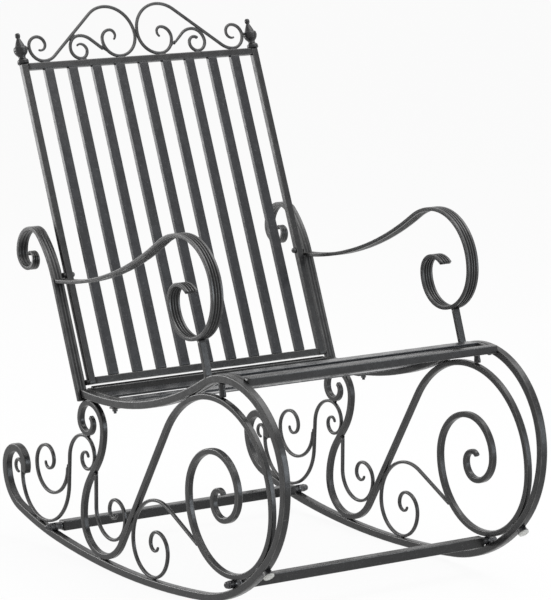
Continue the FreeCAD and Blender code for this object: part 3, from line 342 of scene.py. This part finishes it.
# Thin scrolls: front, hook, rear and cradle scrolls curled from light bar with nearly round corners and
# drawn out at the free ends. They fill the side frames, welded to the legs, the rockers and each other.
SCROLL_CORNER = 0.0021
SCROLL_STEP = 0.004
SCROLL_THIN_RUN = 0.05
SCROLL_THIN_SHARE = 0.68
SCROLL_FREE_ENDS = {"front_scroll": [-1], "hook_scroll": [-1], "rear_scroll": [0, -1],
                    "cradle_scroll": [0]}
for hand in HANDS:
    for part, free in SCROLL_FREE_ENDS.items():
        plain_bar(part + "_" + hand, part + "_rod_" + hand, ACROSS, SCROLL_CORNER, iron, SCROLL_STEP,
                  thin_ends=free, thin_run=SCROLL_THIN_RUN, thin_share=SCROLL_THIN_SHARE)


# Arm uprights: flat bar with faint reeds that carries the arm and rolls back into an ear, drawn out
# narrow at its end. It butts the end of the seat rail and stands on the top curl of the leg.
REED_CORNER = 0.0013
REED_STEP = 0.004
REED_POINTS = 12
REED_ARCH = 0.7
# Weight of the paler ridge crests: partly wear, partly a painted highlight.
RIDGE_WEAR_AND_HIGHLIGHT = 0.75
RIDGE_POWER = 6
# Weight below nought in the grooves, for painted shade.
GROOVE_SHADE_WEIGHT = 260.0
UPRIGHT_REEDS = 3
UPRIGHT_GROOVE = 0.0006
UPRIGHT_THIN_RUN = 0.12
UPRIGHT_THIN_SHARE = 0.45
FRONT = np.array([0.0, -1.0, 0.0])
UP = np.array([0.0, 0.0, 1.0])


def reeded(half_width, half_depth, radius, reeds, groove):
    """A flat section rolled into reeds on both faces: the rounded section with each flat replaced by the
    half depth less a groove times one less an arch, the size of a sine to a power, one arch to a reed
    and level edges. Ridge crests get a weight that turns them paler, partly wear and partly a painted
    highlight, and grooves a weight that paints shade in them."""
    wide, tall, weight = (part.reshape(4, -1) for part in rounded(half_width, half_depth, radius))
    spread = np.linspace(1.0, -1.0, reeds * REED_POINTS + 1)[1:-1]
    arch = np.abs(np.sin(math.pi * reeds * (spread + 1.0) / 2)) ** REED_ARCH
    arch[np.abs(spread) > 1.0 - 1.0 / reeds] = 1.0
    flat = spread * (half_width - radius) / half_width
    deep = 1.0 - groove / half_depth * (1.0 - arch)
    # Ridge crests weigh toward the paler edge colour (partly wear, partly a painted highlight); grooves
    # weigh below nought for painted shade.
    ridge = RIDGE_WEAR_AND_HIGHLIGHT * arch ** RIDGE_POWER - GROOVE_SHADE_WEIGHT * groove * (1.0 - arch)
    return [np.concatenate([part[0, :-1], front, part[1, 1:], part[2, :-1], back, part[3, 1:]])
            for part, front, back in ((wide, flat, -flat), (tall, deep, -deep), (weight, ridge, ridge))]


for hand in HANDS:
    node = "arm_upright_" + hand
    line, half, side = bar_line(node, ACROSS, REED_STEP)
    outer = half * np.sign(half[0] @ FRONT)
    section = reeded(np.linalg.norm(side), np.linalg.norm(half[0]), REED_CORNER, UPRIGHT_REEDS,
                     UPRIGHT_GROOVE)
    bar = carried(line, outer, side, section, thin_ends=[-1], thin_run=UPRIGHT_THIN_RUN,
                  thin_share=UPRIGHT_THIN_SHARE)
    put(closed_skin("upright_" + hand, [bar]), iron, "frame", node)


# Arms: flat bar rolled with reeds along both faces, swung up from the upright and over into a wide
# scroll. One end is welded to the upright, the scroll to the post below it.
ARM_REACH = 0.1
ARM_REEDS = 4
ARM_GROOVE = 0.0019
for hand in HANDS:
    node = "arm_" + hand
    line, half, side = bar_line(node, ACROSS, REED_STEP)
    start = 0 if line[0] @ FRONT < line[-1] @ FRONT - ARM_REACH else -1
    outer = half * np.sign(half[start] @ UP)
    section = reeded(np.linalg.norm(side), np.linalg.norm(half[len(half) // 2]), REED_CORNER,
                     ARM_REEDS, ARM_GROOVE)
    put(closed_skin("arm_rest_" + hand, [carried(line, outer, side, section)]), iron, "frame", node)


# Arm posts: short flat iron bars that prop the arms. Each stands on the seat rail and runs up to the
# underside of the arm's scroll, welded at both ends.
POST_LIP = 0.0003
for hand in HANDS:
    plain_bar("arm_post_" + hand, "arm_prop_" + hand, ACROSS, REED_CORNER, iron, lip=POST_LIP)


# Back panel: square tube posts and rails with slats of thin flat tube between the rails, one welded
# panel that leans back with the uprights.
TUBE_CORNER = 0.0018
TUBE_LIP = 0.0006
SLAT_CORNER = 0.0009
SLAT_LIP = 0.0002
BACK_SLATS = 9
# The second colour is the paler edge colour: partly wear, partly a painted highlight.
slat_coat = coated_iron("slate_powder_coat", (0.020, 0.021, 0.024), (0.15, 0.152, 0.157), 0.25)
for node in ("back_post_right", "back_post_left", "back_bottom_rail", "back_top_rail"):
    plain_bar(node, node + "_tube", FRONT, TUBE_CORNER, iron, lip=TUBE_LIP)
for index in range(1, BACK_SLATS + 1):
    node = "back_slat_%d" % index
    plain_bar(node, node + "_flat", FRONT, SLAT_CORNER, slat_coat, lip=SLAT_LIP)


# Crest: round rod curled into two large and two small scrolls that stand on the top rail, welded to it
# and to each other. The free ends are drawn out thinner.
CREST_STEP = 0.003
CREST_ROUND = 0.85
CREST_ARC_STEPS = 6
CREST_THIN_RUN = 0.045
CREST_THIN_SHARE = 0.62
for hand in HANDS:
    for part, free in (("crest_scroll", [0, -1]), ("small_crest_scroll", [0])):
        node = part + "_" + hand
        line, half, side = bar_line(node, FRONT, CREST_STEP)
        size = np.linalg.norm(side)
        section = rounded(size, size, CREST_ROUND * size, CREST_ARC_STEPS)
        rod = carried(line, half, side, section, thin_ends=free, thin_run=CREST_THIN_RUN,
                      thin_share=CREST_THIN_SHARE)
        put(closed_skin(part + "_rod_" + hand, [rod]), iron, "frame", node)


# Finials: turned iron caps on the posts, each a low flange, a waist, a wide bulb with a cut ring and a
# step over it, a cone and a small ball, drawn as one outline of shares and spun about the post's axis.
FLANGE_BAND = 0.0005
ALONG_LIMIT = 0.9
FINIAL_OUTLINE = np.array([
    (0.0, 0.0), (0.92, 0.0), (1.0, 0.012), (1.0, 0.085), (0.95, 0.118), (0.80, 0.142), (0.66, 0.160),
    (0.61, 0.195), (0.62, 0.235), (0.72, 0.262), (0.90, 0.295), (1.06, 0.335), (1.17, 0.380),
    (1.14, 0.392), (1.20, 0.404), (1.22, 0.435), (1.22, 0.468), (1.18, 0.515), (1.08, 0.545),
    (0.93, 0.558), (0.84, 0.562), (0.84, 0.585), (0.76, 0.625), (0.65, 0.675), (0.52, 0.735),
    (0.40, 0.785), (0.32, 0.812), (0.31, 0.826), (0.36, 0.842), (0.43, 0.870), (0.46, 0.912),
    (0.43, 0.955), (0.30, 0.988), (0.0, 1.0)])


def square_axes(axis):
    """Three unit directions square to one another, the last of them along an axis."""
    axis = axis / np.linalg.norm(axis)
    first = np.cross(axis, ACROSS if abs(axis @ ACROSS) < ALONG_LIMIT else UP)
    first /= np.linalg.norm(first)
    return np.stack([first, np.cross(axis, first), axis])


def turned(base, axis, outline, around=48):
    """Rings of an outline of radii and heights spun about an axis: base + height along the axis +
    radius times the cosine and sine directions square to it."""
    first, second, axis = square_axes(axis)
    angle = np.linspace(0.0, 2 * math.pi, around, endpoint=False)
    spokes = np.cos(angle)[:, None] * first + np.sin(angle)[:, None] * second
    middle = outline[1:-1]
    rings = base + middle[:, None, 1:] * axis + middle[:, None, :1] * spokes[None]
    return rings, base + axis * outline[0, 1], base + axis * outline[-1, 1], np.zeros(around)


for hand in HANDS:
    post_line = lines["back_post_" + hand][0]
    lean = post_line[-1] - post_line[0]
    lean *= np.sign(lean[2]) / np.linalg.norm(lean)
    points = node_points("finial_" + hand)
    heights = points @ lean
    flange = points[heights < heights.min() + FLANGE_BAND]
    base = (flange.min(axis=0) + flange.max(axis=0)) / 2
    radius = np.linalg.norm(flange - base, axis=1).max()
    outline = FINIAL_OUTLINE * (radius, heights.max() - heights.min())
    put(closed_skin("finial_turning_" + hand, [turned(base, lean, outline)]), iron, "frame",
        "finial_" + hand)


# Seat frame: square bar in the same coat, a front rail across the brows of the rocker bars, a side bar
# along each seat rail and a rear rail under the back. All four are welded together.
for node, toward in (("seat_front_rail", UP), ("seat_rear_rail", UP), ("seat_side_right", ACROSS),
                     ("seat_side_left", ACROSS)):
    plain_bar(node, node + "_bar", toward, TUBE_CORNER, iron, lip=TUBE_LIP)


# Seat slats: flat iron bars across the seat in the coat of the back slats. They lie flush with the side
# bars, follow their dip and are welded to them at the ends.
SEAT_SLATS = 8
for index in range(1, SEAT_SLATS + 1):
    node = "seat_slat_%d" % index
    plain_bar(node, node + "_flat", UP, SLAT_CORNER, slat_coat, lip=SLAT_LIP)


# Stretchers: two square iron bars between the rockers, one at the front and one at the rear, that hold
# the side frames apart. Each end is bolted to a boss.
for node in ("front_stretcher", "rear_stretcher"):
    plain_bar(node, node + "_bar", UP, TUBE_CORNER, iron, lip=TUBE_LIP)


# Stretcher fixings: a turned boss across each rocker takes the end of a stretcher, and a round-headed
# bolt with a sunk socket goes through it from outside. Blackened steel under the same coat.
fixing_coat = coated_iron("black_fixing_coat", (0.035, 0.035, 0.038), (0.12, 0.12, 0.12), 0.24, 0.6)


def solids(node):
    """The points of each separate solid of a node: labels spread along the mesh's edges, each point
    taking the least label beside it, until none changes."""
    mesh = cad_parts[node].data
    points = np.round(node_points(node), MERGE_DIGITS)
    spots, ids = np.unique(points, axis=0, return_inverse=True)
    edges = np.empty(len(mesh.edges) * 2, np.int32)
    mesh.edges.foreach_get("vertices", edges)
    edges = ids.ravel()[edges].reshape(-1, 2)
    labels = np.arange(len(spots))
    settled = False
    while not settled:
        least = labels.copy()
        np.minimum.at(least, edges, labels[edges].min(axis=1, keepdims=True).repeat(2, axis=1))
        settled = np.array_equal(least, labels)
        labels = least
    return [spots[labels == label] for label in np.unique(labels)]


def lathe(points, axis, outline, around):
    """An outline of shares of a solid's length and greatest radius, spun about its own middle axis."""
    axes = square_axes(axis)
    own = points @ axes.T
    low = own.min(axis=0)
    high = own.max(axis=0)
    middle = (low + high) / 2
    middle[2] = low[2]
    radius = (high[0] - low[0]) / 2
    return turned(middle @ axes, axis, outline * (radius, high[2] - low[2]), around)


def outward(points):
    """The direction across the chair away from its middle at a solid."""
    return ACROSS * np.sign(points[:, 0].mean())


def turnings(name, node, way, outline, material, slot, around=32, smooth=True):
    """A turning in place of each solid of a node, spun about the way found for that solid."""
    skins = [lathe(points, way(points), outline, around) for points in solids(node)]
    put(closed_skin(name, skins, smooth), material, slot, node)


BOSS_OUTLINE = np.array([
    (0.0, 0.0), (0.84, 0.0), (0.95, 0.02), (1.0, 0.06), (1.0, 0.20), (0.90, 0.235), (0.90, 0.275),
    (1.0, 0.31), (1.0, 0.69), (0.90, 0.725), (0.90, 0.765), (1.0, 0.80), (1.0, 0.94), (0.95, 0.98),
    (0.84, 1.0), (0.0, 1.0)])
BOLT_OUTLINE = np.array([
    (0.0, 0.0), (0.56, 0.0), (0.615, 0.015), (0.615, 0.895), (0.96, 0.897), (1.0, 0.905), (1.0, 0.925),
    (0.95, 0.950), (0.82, 0.975), (0.62, 0.993), (0.48, 1.0), (0.42, 0.998), (0.40, 0.960),
    (0.0, 0.955)])
turnings("stretcher_boss_turnings", "stretcher_bosses", outward, BOSS_OUTLINE, fixing_coat, "frame")
turnings("stretcher_bolt_turnings", "stretcher_bolts", outward, BOLT_OUTLINE, fixing_coat, "fixings")


# Back fixings: short turned spacers hold the posts off the uprights, and a round-headed bolt goes out
# through each upper spacer from the inner face of the post.
SPACER_OUTLINE = np.array([
    (0.0, 0.0), (0.92, 0.0), (1.0, 0.08), (1.0, 0.22), (0.90, 0.38), (0.90, 0.62), (1.0, 0.78),
    (1.0, 0.92), (0.92, 1.0), (0.0, 1.0)])
BACK_BOLT_OUTLINE = BOLT_OUTLINE.copy()
BACK_BOLT_OUTLINE[1:4, 0] = (0.40, 0.45, 0.45)
BACK_BOLT_OUTLINE[:, 1] = np.interp(BOLT_OUTLINE[:, 1], (0.0, 0.895, 1.0), (0.0, 0.765, 1.0))


def inward(points):
    """The direction across the chair toward its middle at a solid."""
    return -outward(points)


turnings("back_spacer_turnings", "back_spacers", outward, SPACER_OUTLINE, iron, "frame")
turnings("back_bolt_turnings", "back_bolts", inward, BACK_BOLT_OUTLINE, fixing_coat, "fixings")


# Seat fixings: a flat lug under each seat rail, a threaded stud down through it and a hexagon nut. The
# loop spacers are turned props between the brow of each rocker bar and the crown of its leg.
LUG_CORNER = 0.0007
THREAD_TURNS = 11
THREAD_DEPTH = 0.07
STUD_AROUND = 20
NUT_SIDES = 6
turns = np.linspace(0.0, 1.0, 4 * THREAD_TURNS + 1)
thread = 1.0 - THREAD_DEPTH * (1.0 - np.cos(2 * math.pi * THREAD_TURNS * turns))
STUD_OUTLINE = np.vstack([(0.0, 0.0), np.stack([thread, turns], axis=1), (0.0, 1.0)])
NUT_OUTLINE = np.array([(0.0, 0.0), (0.88, 0.0), (1.0, 0.13), (1.0, 0.87), (0.88, 1.0), (0.0, 1.0)])


def rocker_beside(points):
    """The heading of the rocker bar beside a solid, and the direction from the bar to the solid."""
    middle = (points.min(axis=0) + points.max(axis=0)) / 2
    line = lines["rocker_bar_left" if middle[0] > 0.0 else "rocker_bar_right"][0]
    place = np.linalg.norm(line[1:-1, 1:] - middle[1:], axis=1).argmin() + 1
    heading = line[place + 1] - line[place - 1]
    heading /= np.linalg.norm(heading)
    away = np.cross(ACROSS, heading)
    return heading, away * np.sign((middle - line[place]) @ away)


def off_rocker(points):
    """The direction from the rocker bar beside a solid to that solid."""
    return rocker_beside(points)[1]


lug_skins = []
for points in solids("seat_lugs"):
    heading, away = rocker_beside(points)
    own = points @ np.stack([ACROSS, heading, away]).T
    low = own.min(axis=0)
    high = own.max(axis=0)
    size = (high - low) / 2
    run = np.array([low[0], low[0] + LUG_CORNER, high[0] - LUG_CORNER, high[0]])
    line = run[:, None] * ACROSS + (low + high)[1] / 2 * heading + (low + high)[2] / 2 * away
    lug_skins.append(carried(line, np.tile(heading * size[1], (4, 1)), away * size[2],
                             rounded(size[2], size[1], LUG_CORNER), LUG_CORNER))
put(closed_skin("seat_lug_plates", lug_skins), iron, "frame", "seat_lugs")
turnings("seat_stud_threads", "seat_studs", off_rocker, STUD_OUTLINE, fixing_coat, "fixings",
         STUD_AROUND)
turnings("seat_nut_hexagons", "seat_nuts", off_rocker, NUT_OUTLINE, fixing_coat, "fixings", NUT_SIDES,
         smooth=False)
turnings("loop_spacer_turnings", "loop_spacers", off_rocker, SPACER_OUTLINE, iron, "frame")


# Stop pads: a dark seat welded to the toe of each rocker with a pale rubber disc pressed into it, which
# meets the floor when the chair is tipped right forward.
PAD_AROUND = 40
SEAT_OUTLINE = np.array([
    (0.0, 0.0), (0.80, 0.0), (0.857, 0.03), (0.857, 0.52), (0.93, 0.56), (0.99, 0.60), (0.99, 0.70),
    (0.95, 0.73), (0.0, 0.73)])
DISC_OUTLINE = np.array([
    (0.0, 0.66), (0.90, 0.66), (0.94, 0.70), (0.96, 0.76), (0.96, 0.86), (0.92, 0.94), (0.82, 0.985),
    (0.62, 1.0), (0.58, 0.985), (0.20, 0.985), (0.0, 0.985)])
pad_rubber = coated_iron("pale_rubber", (0.60, 0.60, 0.57), (0.68, 0.68, 0.65), 0.62, 0.25)
turnings("stop_pad_seats", "stop_pads", off_rocker, SEAT_OUTLINE, fixing_coat, "pads", PAD_AROUND)
discs = [lathe(points, off_rocker(points), DISC_OUTLINE, PAD_AROUND) for points in solids("stop_pads")]
put(closed_skin("stop_pad_discs", discs), pad_rubber, "pads")


# Welds: short rippled beads of iron on both faces where one bar lies along another or butts on it, and
# one between the bulb of each finial and the crest scroll beside it.
WELD_LENGTH = 0.017
WELD_REACH = 0.0009
WELD_ALONG = 0.8
WELD_SHARE = 0.32
WELD_WIDEST = 0.009
WELD_SINK = 0.45
BUTT_SHIFT = 0.1
BEAD_AROUND = 10
FINIAL_BITE = 0.0118
FINIAL_BEAD = 0.0029
FINIAL_AROUND = 12
weld_turns = np.linspace(-1.0, 1.0, 15)
ripple = 0.9 + 0.1 * np.cos(3.0 * math.pi * weld_turns)
WELD_OUTLINE = np.stack([np.sqrt(1.0 - weld_turns ** 4) * ripple, weld_turns / 2], axis=1)


def headings(line):
    """The unit heading at each point of a line."""
    steps = np.gradient(line, axis=0)
    return steps / np.linalg.norm(steps, axis=1, keepdims=True)


def welds(first, second):
    """Beads where two bars meet: the gap at each point of the first bar is its least distance to the
    second less both half depths, and each run of points with hardly any gap gets one pair of beads."""
    line, half, side = lines[first]
    other, other_half, other_side = lines[second]
    flat = side / np.linalg.norm(side)
    spread = line[:, None, :] - other[None, :, :]
    spread = np.linalg.norm(spread - (spread @ flat)[..., None] * flat, axis=2)
    near = spread.argmin(axis=1)
    depth = np.linalg.norm(half[len(half) // 2])
    other_depth = np.linalg.norm(other_half[len(other_half) // 2])
    bare = spread.min(axis=1) - depth - other_depth
    turns = np.flatnonzero(np.diff(np.pad(bare < WELD_REACH, 1).astype(int)))
    beads = []
    for start, end in zip(turns[::2], turns[1::2]):
        place = start + bare[start:end].argmin()
        beside = other[near[place]] - line[place]
        beside -= beside @ flat * flat
        spot = line[place] + beside * depth / (depth + other_depth)
        way = headings(line)[place]
        other_way = headings(other)[near[place]]
        run = WELD_LENGTH
        if abs(way @ other_way) <= WELD_ALONG:
            run = 2.0 * depth
            way = other_way
            spot = line[place] + beside * BUTT_SHIFT
        thick = WELD_SHARE * min(2.0 * depth, 2.0 * other_depth, WELD_WIDEST)
        out = flat * (min(np.linalg.norm(side), np.linalg.norm(other_side)) - WELD_SINK * thick)
        beads += [turned(spot + sign * out, way, WELD_OUTLINE * (thick, run), BEAD_AROUND)
                  for sign in (-1.0, 1.0)]
    return beads


SIDE_MEETINGS = (
    ("leg_scroll", "rocker_bar"), ("front_scroll", "rocker_bar"), ("front_scroll", "leg_scroll"),
    ("hook_scroll", "leg_scroll"), ("rear_scroll", "leg_scroll"), ("rear_scroll", "rocker_bar"),
    ("cradle_scroll", "rear_scroll"), ("arm_post", "rocker_bar"), ("arm_post", "arm"),
    ("small_crest_scroll", "crest_scroll"))
beads = [bead for hand in HANDS for first, second in SIDE_MEETINGS
         for bead in welds(first + "_" + hand, second + "_" + hand)]
beads += welds("crest_scroll_right", "crest_scroll_left")
beads += [bead for hand in HANDS for first in ("crest_scroll_", "small_crest_scroll_")
          for bead in welds(first + hand, "back_top_rail")]
for hand in HANDS:
    line = lines["crest_scroll_" + hand][0]
    post_line = lines["back_post_" + hand][0]
    spokes = line - post_line[-1]
    spokes -= (spokes @ headings(post_line)[-1])[:, None] * headings(post_line)[-1]
    place = np.linalg.norm(spokes, axis=1).argmin()
    reach = np.linalg.norm(spokes[place])
    spoke = spokes[place] / reach
    run = reach - FINIAL_BITE
    beads.append(turned(line[place] - spoke * run / 2, spoke, WELD_OUTLINE * (FINIAL_BEAD, run),
                        FINIAL_AROUND))
put(closed_skin("weld_beads", beads), iron, "frame")


# Studio: a white paper floor just under the rockers that runs out to a white surround, with a wide soft
# lamp above, one behind at the side whose light the outer faces mirror, and a cool one low in front.
FLOOR_HALF = 14.0
FLOOR_LEVEL = -0.0005
FLOOR_GLOW = 0.93
SURROUND_FILL = 0.38
PAPER_COLOUR = (0.93, 0.93, 0.93, 1.0)
PAPER_ROUGH = 0.9
PLAIN = (1.0, 1.0, 1.0)
COOL = (0.84, 0.92, 1.0)
floor_mesh = bpy.data.meshes.new("studio_floor")
floor_corners = [(across * FLOOR_HALF, deep * FLOOR_HALF, FLOOR_LEVEL)
                 for across, deep in ((-1, -1), (1, -1), (1, 1), (-1, 1))]
floor_mesh.from_pydata(floor_corners, [], [(0, 1, 2, 3)])
floor = bpy.data.objects.new("studio_floor", floor_mesh)
bpy.context.scene.collection.objects.link(floor)


def seen_rays(tree):
    """One for rays that come from the camera, a reflection or a clear body, and nought for others."""
    ray = tree.nodes.new("ShaderNodeLightPath")
    seen = ray.outputs["Is Camera Ray"]
    for kind in ("Is Glossy Ray", "Is Transmission Ray"):
        most = tree.nodes.new("ShaderNodeMath")
        most.operation = "MAXIMUM"
        tree.links.new(seen, most.inputs[0])
        tree.links.new(ray.outputs[kind], most.inputs[1])
        seen = most.outputs["Value"]
    return seen


def level(tree, source, low, high):
    """A number that goes from low to high as its source goes from nought to one."""
    node = tree.nodes.new("ShaderNodeMapRange")
    node.inputs["To Min"].default_value = low
    node.inputs["To Max"].default_value = high
    tree.links.new(source, node.inputs["Value"])
    return node.outputs["Result"]


paper = bpy.data.materials.new("white_paper")
paper.use_nodes = True
tree = paper.node_tree
sheet = tree.nodes["Principled BSDF"]
sheet.inputs["Base Color"].default_value = PAPER_COLOUR
sheet.inputs["Roughness"].default_value = PAPER_ROUGH
glow = tree.nodes.new("ShaderNodeEmission")
either = tree.nodes.new("ShaderNodeMixShader")
tree.links.new(level(tree, seen_rays(tree), 0.0, FLOOR_GLOW), either.inputs["Fac"])
tree.links.new(sheet.outputs["BSDF"], either.inputs[1])
tree.links.new(glow.outputs["Emission"], either.inputs[2])
tree.links.new(either.outputs["Shader"], tree.nodes["Material Output"].inputs["Surface"])
floor_mesh.materials.append(paper)

world = bpy.data.worlds.new("white_surround")
bpy.context.scene.world = world
world.use_nodes = True
tree = world.node_tree
background = tree.nodes["Background"]
background.inputs["Color"].default_value = (*PLAIN, 1.0)
tree.links.new(level(tree, seen_rays(tree), SURROUND_FILL, 1.0), background.inputs["Strength"])

for name, place, aim, wide, tall, power, tint in (
        ("soft_top", (0.9, -0.5, 3.3), (0.0, 0.0, 0.4), 2.8, 2.8, 82.0, PLAIN),
        ("soft_side", (-2.3, 2.7, 0.9), (0.0, 0.0, 0.6), 2.4, 1.4, 66.0, PLAIN),
        ("soft_front", (1.95, -3.45, 1.1), (0.0, -0.2, 0.4), 1.1, 1.8, 34.0, COOL)):
    lamp = bpy.data.lights.new(name, "AREA")
    lamp.shape = "RECTANGLE"
    lamp.size = wide
    lamp.size_y = tall
    lamp.energy = power
    lamp.color = tint
    holder = bpy.data.objects.new(name, lamp)
    gaze = np.array(aim) - np.array(place)
    tilt = math.atan2(math.hypot(gaze[0], gaze[1]), -gaze[2])
    holder.location = place
    holder.rotation_euler = (tilt, 0.0, math.atan2(-gaze[0], gaze[1]))
    bpy.context.scene.collection.objects.link(holder)


# Camera: the photograph's view, from the front on the sitter's right and from above the height of the
# back, through a long lens.
LENS_LENGTH = 211.745
SENSOR_WIDTH = 36.0
VIEW_PLACE = (-3.70494, -5.32144, 1.64911)
VIEW_TURN = (79.9487, -0.2275, -34.9615)
lens = bpy.data.cameras.new("photo_view")
lens.lens = LENS_LENGTH
lens.sensor_width = SENSOR_WIDTH
view = bpy.data.objects.new("photo_view", lens)
view.location = VIEW_PLACE
view.rotation_euler = [math.radians(angle) for angle in VIEW_TURN]
bpy.context.scene.collection.objects.link(view)
bpy.context.scene.camera = view
bpy.context.scene.view_settings.view_transform = "Standard"
